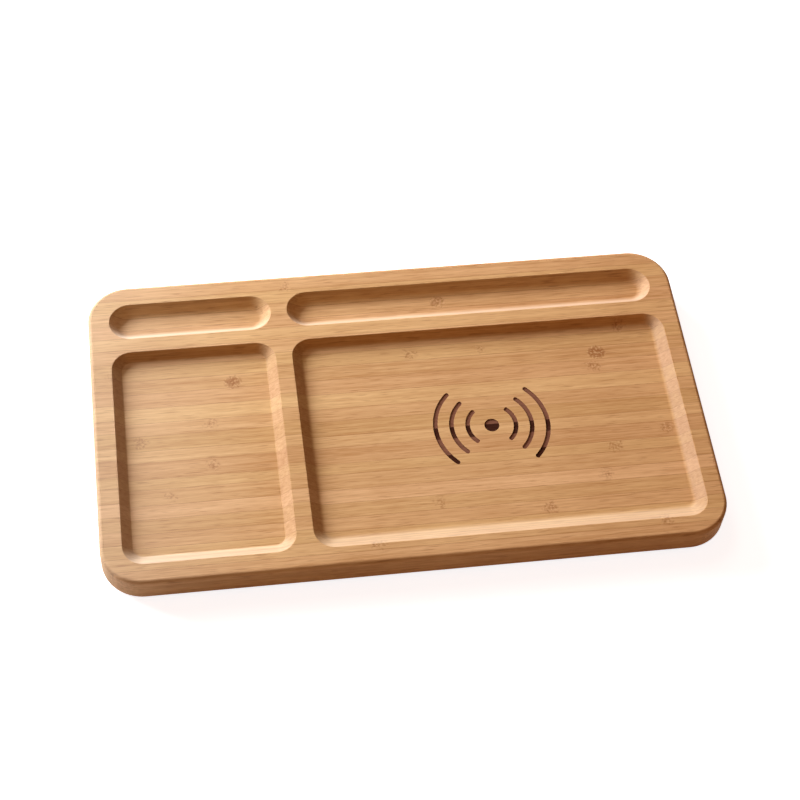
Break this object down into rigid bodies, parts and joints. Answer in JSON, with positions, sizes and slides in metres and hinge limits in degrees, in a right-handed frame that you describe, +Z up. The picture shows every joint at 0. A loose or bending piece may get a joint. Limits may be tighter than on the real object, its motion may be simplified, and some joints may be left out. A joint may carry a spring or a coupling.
{
  "type": "desk organizer tray",
  "caption": "Shallow bamboo desk tray with two pen slots, a small compartment and a phone bay over a wireless charger fitted into its underside.",
  "frame": {"origin": "on the desk under the middle of the tray, at the undersides of the feet", "axes": "+X along the length to the right, +Y to the back edge with the socket, +Z up"},
  "size_m": [0.3, 0.1716, 0.0163],
  "materials": {
    "bamboo": "side-pressed bamboo strips, sanded and satin oiled",
    "adhesive_film": "double-sided adhesive film",
    "copper_wire": "enamelled copper wire",
    "ferrite": "sintered ferrite sheet",
    "sensor_bead": "epoxy bead",
    "foam": "closed-cell foam",
    "circuit_board": "solder-masked glass-fibre board",
    "chip_black": "moulded package",
    "inductor_core": "shielded ferrite body",
    "ceramic": "ceramic block",
    "socket_steel": "plated stamped steel",
    "socket_plastic": "moulded insulator",
    "screw_steel": "zinc-plated steel",
    "cover_plastic": "fine-grained moulded plastic",
    "rubber": "soft rubber"
  },
  "bodies": {
    "root": {"tray_body": "bamboo", "coil_adhesive": "adhesive_film", "charging_coil": "copper_wire", "coil_ferrite": "ferrite", "temperature_sensor": "sensor_bead", "coil_foam_spacer": "foam", "circuit_board": "circuit_board", "controller_chip": "chip_black", "sense_resistor": "chip_black", "supply_inductor": "inductor_core", "input_capacitor_1": "ceramic", "input_capacitor_2": "ceramic", "bridge_transistor_1": "chip_black", "bridge_transistor_2": "chip_black", "resonant_capacitor_1": "ceramic", "resonant_capacitor_2": "ceramic", "resonant_capacitor_3": "ceramic", "resonant_capacitor_4": "ceramic", "usb_socket_shell": "socket_steel", "usb_socket_insulator": "socket_plastic", "bottom_cover": "cover_plastic", "board_screw_1": "screw_steel", "board_screw_2": "screw_steel", "board_screw_3": "screw_steel", "board_screw_4": "screw_steel", "cover_screw_1": "screw_steel", "cover_screw_2": "screw_steel", "cover_screw_3": "screw_steel", "cover_screw_4": "screw_steel", "cover_screw_5": "screw_steel", "cover_screw_6": "screw_steel", "rubber_foot_front_left": "rubber", "rubber_foot_front_right": "rubber", "rubber_foot_back_left": "rubber", "rubber_foot_back_right": "rubber"}
  },
  "joints": []
}
